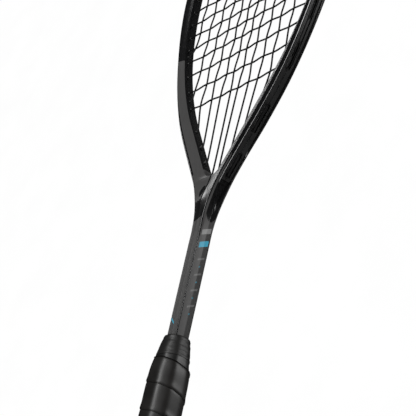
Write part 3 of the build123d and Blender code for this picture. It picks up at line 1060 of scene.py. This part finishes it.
def panel_masks(n, x, y, z):
    """Where the grey panels are: the throat beams' facets, the shaft's front and back, and its sides. After
    it come the masks of all the facets and of all the side walls."""
    facet = n.span(n.value("facet"), -0.08, 0.08)
    flank = n.span(n.value("flank"), -0.1, 0.1)
    upper = n.span(n.plus(y, n.times(n.magnitude(x), 0.35)), *PANEL_TOP, 1.0, 0.0)
    crinkle = n.times(n.minus(n.noise(620, 2, 0.5), 0.5), 0.006)
    ragged = n.plus(n.plus(y, n.times(n.magnitude(x), 0.4)), crinkle)
    left_end = n.span(ragged, *LEFT_PANEL_END)
    right_end = n.span(n.plus(y, n.times(x, 1.6)), *RIGHT_PANEL_END)
    lower = n.mix(n.math("GREATER_THAN", x, 0.0), left_end, right_end)
    # A painted shadow: the grey panel gives way to black in a thin strip left of the crease, as in a narrow
    # slot
    crease = n.times(n.band(x, *CREASE_SHADE_X), n.span(y, *CREASE_SHADE_START))
    hoop_panel = n.times(facet, upper, lower, n.minus(1.0, crease), outside_leaf(n, x, y))
    front_end = n.plus(n.times(x, 0.35), SHAFT_FRONT_END)
    shaft_front = n.times(facet, n.span(n.minus(front_end, y), 0.0, 0.0006))
    side_end = n.plus(n.span(n.magnitude(z), 0.0050, 0.0064, 0.0, 0.045, True), SHAFT_SIDE_END)
    side_end = n.plus(side_end, n.times(n.square(z), 220.0))
    shaft_side = n.times(flank, n.span(n.minus(side_end, y), 0.0, 0.0008))
    grey = n.plus(n.plus(hoop_panel, shaft_front, clamp=True), shaft_side, clamp=True)
    return grey, facet, flank


def add_marks(n, x, y, z, facet, flank, colour):
    """Plain slanting bars, dashes and dots in pale grey and cyan down the shaft's sides, and a short
    slanting tick on its front and back."""
    slant = n.plus(y, n.times(z, MARK_SLANT))
    in_bar = n.span(n.magnitude(z), *BAR_HALF, 1.0, 0.0)
    in_dash = n.span(n.magnitude(n.minus(z, DASH_Z)), *DASH_HALF, 1.0, 0.0)
    in_run = n.band(slant, *MARK_RUN)
    step = n.math("MODULO", n.minus(MARK_RUN[1], slant), MARK_PITCH)
    off_y, off_z = n.minus(step, DOT_CENTRE[0]), n.minus(z, DOT_CENTRE[1])
    in_dot = n.math("LESS_THAN", n.plus(n.square(off_y), n.square(off_z)), DOT_RADIUS**2)
    on_tick = n.band(n.plus(y, n.times(x, TICK_SLANT)), *TICK)
    marks = (
        ((n.band(slant, *PALE_BAR), in_bar, flank, 0.8), (0.30, 0.30, 0.30, 1)),
        ((n.band(step, *DASH), in_dash, in_run, flank, 0.55), (0.22, 0.22, 0.22, 1)),
        ((n.band(slant, *CYAN_BAR), in_bar, flank, 0.9), (0.03, 0.42, 0.62, 1)),
        ((in_dot, in_run, flank, 0.6), (0.03, 0.30, 0.42, 1)),
        ((on_tick, n.band(x, *TICK_X), facet, 0.9), (0.04, 0.45, 0.65, 1)),
    )
    for shares, tone in marks:
        colour = n.blend(n.times(*shares), colour, tone)
    return colour


def lacquer():
    n = Nodes("lacquered_carbon", Coat_Weight=0.5, Coat_Roughness=0.1, IOR=1.5)
    x, y, z = n.axes()
    grey, facet, flank = panel_masks(n, x, y, z)
    flake = n.noise(5200, 2, 0.6)
    cloud = n.noise(22, 4, 0.6)
    fibre = n.noise(900, 2, 0.5, stretch=(1, 0.06, 1))
    grey_tone = n.blend(n.span(flake, 0.3, 0.75), (0.046, 0.045, 0.045, 1), (0.080, 0.078, 0.077, 1))
    grey_tone = n.blend(n.span(cloud, 0.3, 0.7, 0.0, 0.25), grey_tone, (0.035, 0.034, 0.033, 1))
    black_tone = n.blend(n.span(fibre, 0.35, 0.7), (0.0035, 0.0035, 0.004, 1), (0.008, 0.008, 0.0085, 1))
    colour = add_marks(n, x, y, z, facet, flank, n.blend(grey, black_tone, grey_tone))
    scuff = n.span(n.noise(160, 5, 0.65), 0.52, 0.72)
    rough = n.mix(grey, n.span(scuff, 0, 1, 0.16, 0.26), n.span(flake, 0.3, 0.75, 0.36, 0.48))
    coat = n.span(grey, 0, 1, 0.3, 0.0)
    height = n.plus(n.times(n.noise(700, 2, 0.5), 0.3), n.times(flake, grey, 0.4))
    return n.out(colour, rough, n.bump(height, 0.00002, 0.2), coat)


def nylon():
    n = Nodes("black_nylon", IOR=1.5)
    grain = n.noise(1800, 3, 0.6)
    cloud = n.noise(60, 4, 0.6)
    colour = n.blend(n.span(cloud, 0.3, 0.7), (0.014, 0.014, 0.0145, 1), (0.026, 0.026, 0.0265, 1))
    rough = n.span(n.plus(n.times(grain, 0.4), n.times(cloud, 0.6)), 0.3, 0.7, 0.30, 0.44)
    return n.out(colour, rough, n.bump(grain, 0.00004, 0.4))


def string_coat():
    n = Nodes("string_coat", IOR=1.32)
    run, turn = n.value("run"), n.value("turn")
    braid = n.math("SINE", n.plus(n.times(run, 5.2), n.times(turn, 9.4)))
    wear = n.noise(300, 3, 0.6)
    colour = n.blend(n.span(wear, 0.35, 0.7), (0.005, 0.005, 0.0055, 1), (0.011, 0.011, 0.012, 1))
    rough = n.span(wear, 0.3, 0.7, 0.42, 0.6)
    return n.out(colour, rough, n.bump(braid, 0.00005, 0.5))


def grip_leather():
    n = Nodes("grip_wrap", IOR=1.5)
    seam = n.value("seam")
    grain = n.voronoi(1500, "SMOOTH_F1")
    fine = n.noise(2600, 3, 0.6)
    cloud = n.noise(45, 4, 0.6)
    worn = n.span(cloud, 0.42, 0.72)
    edge = n.span(seam, 0.0, 0.06, 1.0, 0.0)
    colour = n.blend(worn, (0.0100, 0.0090, 0.0084, 1), (0.0175, 0.0157, 0.0146, 1))
    colour = n.blend(n.times(edge, 0.4), colour, (0.026, 0.024, 0.022, 1))
    # Painted shade: the tape is darkened where its upper edge tucks under the next turn's lapping edge
    tuck = n.span(seam, 0.95, 1.0)
    colour = n.blend(tuck, colour, (0.004, 0.0037, 0.0034, 1))
    rough = n.span(cloud, 0.3, 0.7, 0.34, 0.44)
    first = n.bump(grain, 0.00010, 0.25)
    return n.out(colour, rough, n.bump(fine, 0.00004, 0.3, first))


def collar_rubber():
    n = Nodes("collar_rubber", IOR=1.5)
    cloud = n.noise(90, 4, 0.65)
    grain = n.noise(2200, 3, 0.6)
    crease = n.noise(260, 3, 0.6, stretch=(1, 2.6, 1))
    colour = n.blend(n.span(cloud, 0.3, 0.72), (0.007, 0.0067, 0.0067, 1), (0.016, 0.0155, 0.015, 1))
    rough = n.span(cloud, 0.3, 0.7, 0.38, 0.52)
    first = n.bump(crease, 0.0004, 0.35)
    return n.out(colour, rough, n.bump(grain, 0.00004, 0.4, first))


def foam():
    n = Nodes("handle_foam")
    cells = n.voronoi(1400)
    cloud = n.noise(70, 4, 0.6)
    colour = n.blend(n.span(cloud, 0.3, 0.7), (0.09, 0.082, 0.072, 1), (0.15, 0.138, 0.122, 1))
    rough = n.span(cloud, 0.3, 0.7, 0.7, 0.9)
    return n.out(colour, rough, n.bump(cells, 0.0002, 0.6))


def cap_plastic():
    n = Nodes("cap_plastic", IOR=1.5)
    grain = n.voronoi(1100)
    cloud = n.noise(80, 4, 0.6)
    colour = n.blend(n.span(cloud, 0.3, 0.7), (0.012, 0.012, 0.0122, 1), (0.022, 0.022, 0.0222, 1))
    rough = n.span(cloud, 0.3, 0.7, 0.3, 0.48)
    return n.out(colour, rough, n.bump(grain, 0.00005, 0.4))


def steel():
    n = Nodes("staple_steel", Metallic=1.0)
    brushed = n.noise(900, 3, 0.6, stretch=(0.05, 1, 1))
    colour = n.blend(n.span(brushed, 0.3, 0.7), (0.42, 0.42, 0.43, 1), (0.62, 0.62, 0.63, 1))
    rough = n.span(brushed, 0.3, 0.7, 0.24, 0.4)
    return n.out(colour, rough, n.bump(brushed, 0.00002, 0.4))


def vinyl():
    n = Nodes("finishing_tape", IOR=1.5)
    cloth = n.noise(1300, 2, 0.5, stretch=(1, 3, 1))
    cloud = n.noise(60, 4, 0.6)
    colour = n.blend(n.span(cloud, 0.3, 0.7), (0.008, 0.008, 0.008, 1), (0.016, 0.016, 0.016, 1))
    rough = n.span(cloud, 0.3, 0.7, 0.34, 0.5)
    return n.out(colour, rough, n.bump(cloth, 0.00004, 0.4))


def paint(obj, material):
    obj.data.materials.clear()
    obj.data.materials.append(material)


def piece(obj, slot, material, *nodes):
    """A built piece that stands for CAD nodes and rides with the racket."""
    paint(obj, material)
    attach(obj, "root")
    if nodes:
        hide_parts(*nodes)


NYLON = nylon()
STRING_COAT = string_coat()
piece(frame_moulding(), "lacquered_carbon", lacquer(), "carbon_frame")
piece(main_strings(), "string_black", STRING_COAT, "main_string")
piece(cross_strings(), "string_black", STRING_COAT, "cross_string")
piece(grip_wrap(), "grip_wrap", grip_leather(), "grip_tape")
COLLAR = wrinkled_ring("collar_ring", COLLAR_SECTIONS, COLLAR_FOLDS)
TAPE = wrinkled_ring("finishing_band", TAPE_SECTIONS, TAPE_FOLDS)
piece(COLLAR, "collar_rubber", collar_rubber(), "rubber_collar")
piece(TAPE, "finishing_tape", vinyl(), "finishing_tape")
piece(grommet_strip(-1, "strip_left_moulded"), "black_nylon", NYLON, "grommet_strip_left")
piece(grommet_strip(1, "strip_right_moulded"), "black_nylon", NYLON, "grommet_strip_right")
paint(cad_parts["bumper_guard"], NYLON)
paint(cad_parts["foam_handle"], foam())
paint(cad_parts["butt_cap"], cap_plastic())
paint(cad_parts["butt_cap_staples"], steel())


# ---------------------------------------------------------------- floor, light and camera
FLOOR_HALF = 14.0
FLOOR_Z = -0.55
WORLD_STRENGTH = 0.045
LIGHT_TARGET = (0.0, 0.25, 0.0)
HANDLE_PIECES = ("grip_wrap_spiral", "collar_ring", "finishing_band")
# The camera's place in metres, its angles about X, Y and Z in degrees and its lens in millimetres
CAMERA_PLACE = (0.7576, -0.2008, 0.5208)
CAMERA_TURN = (41.273, 48.127, 17.093)
CAMERA_LENS = 112.5


def floor():
    """A plain pale sheet well below the racket. The lacquer doesn't reflect it."""
    bm = bmesh.new()
    corners = ((-1, -1), (1, -1), (1, 1), (-1, 1))
    bm.faces.new([bm.verts.new((x * FLOOR_HALF, y * FLOOR_HALF, FLOOR_Z)) for x, y in corners])
    obj = finish_mesh(bm, "floor")
    n = Nodes("floor_paper", Specular_IOR_Level=0.1)
    paper = n.noise(14, 3, 0.5)
    colour = n.blend(paper, (0.90, 0.90, 0.90, 1), (0.93, 0.93, 0.93, 1))
    rough = n.span(paper, 0.3, 0.7, 0.85, 0.95)
    paint(obj, n.out(colour, rough, n.bump(paper, 0.0002, 0.1)))
    obj.visible_glossy = False
    return obj


def only_on(light, *objects):
    """The light falls on these objects alone, and nothing else shades them from it."""
    receivers = bpy.data.collections.new(light.name + "_receivers")
    for obj in objects:
        receivers.objects.link(obj)
    light.light_linking.receiver_collection = receivers
    light.light_linking.blocker_collection = receivers


def soft_box(name, direction, distance, size, power):
    """A rectangular light facing the racket's middle. Lengths are in metres, power in watts."""
    light = bpy.data.lights.new(name, "AREA")
    light.shape = "RECTANGLE"
    light.size, light.size_y = size
    light.energy = power
    obj = bpy.data.objects.new(name, light)
    away = Vector(direction).normalized()
    obj.location = Vector(LIGHT_TARGET) + away * distance
    obj.rotation_euler = (-away).to_track_quat("-Z", "Y").to_euler()
    bpy.context.scene.collection.objects.link(obj)
    return obj


def studio(ground):
    """Soft boxes on the racket, of which the handle has one of its own, and a wash on the floor alone."""
    world = bpy.data.worlds.new("studio")
    world.use_nodes = True
    background = world.node_tree.nodes["Background"]
    background.inputs["Color"].default_value = (1, 1, 1, 1)
    background.inputs["Strength"].default_value = WORLD_STRENGTH
    bpy.context.scene.world = world
    top = soft_box("top_box", (0.09, 0.31, 0.946), distance=1.6, size=(0.35, 1.6), power=20)
    low = soft_box("low_box", (0.85, 0.47, -0.20), distance=1.2, size=(0.3, 0.5), power=3.0)
    grip_box = soft_box("grip_box", (0.80, 0.50, -0.42), distance=1.2, size=(0.25, 0.8), power=5)
    back = soft_box("back_box", (-0.805, 0.573, 0.12), distance=1.5, size=(1.2, 0.4), power=6.3)
    sun = bpy.data.lights.new("floor_wash", "SUN")
    sun.energy = 3.3
    wash = bpy.data.objects.new("floor_wash", sun)
    bpy.context.scene.collection.objects.link(wash)
    only_on(wash, ground)
    pieces = [o for o in bpy.data.objects if o.type == "MESH" and o != ground]
    handle = [o for o in pieces if o.name in HANDLE_PIECES]
    others = [o for o in pieces if o not in handle]
    only_on(top, *pieces)
    only_on(low, *others)
    only_on(back, *others)
    only_on(grip_box, *handle)


def camera():
    data = bpy.data.cameras.new("camera")
    data.lens = CAMERA_LENS
    data.sensor_width = 36
    data.clip_start = 0.01
    obj = bpy.data.objects.new("camera", data)
    obj.location = CAMERA_PLACE
    obj.rotation_euler = [radians(angle) for angle in CAMERA_TURN]
    bpy.context.scene.collection.objects.link(obj)
    bpy.context.scene.camera = obj


studio(floor())
camera()
bpy.context.scene.view_settings.view_transform = "Standard"
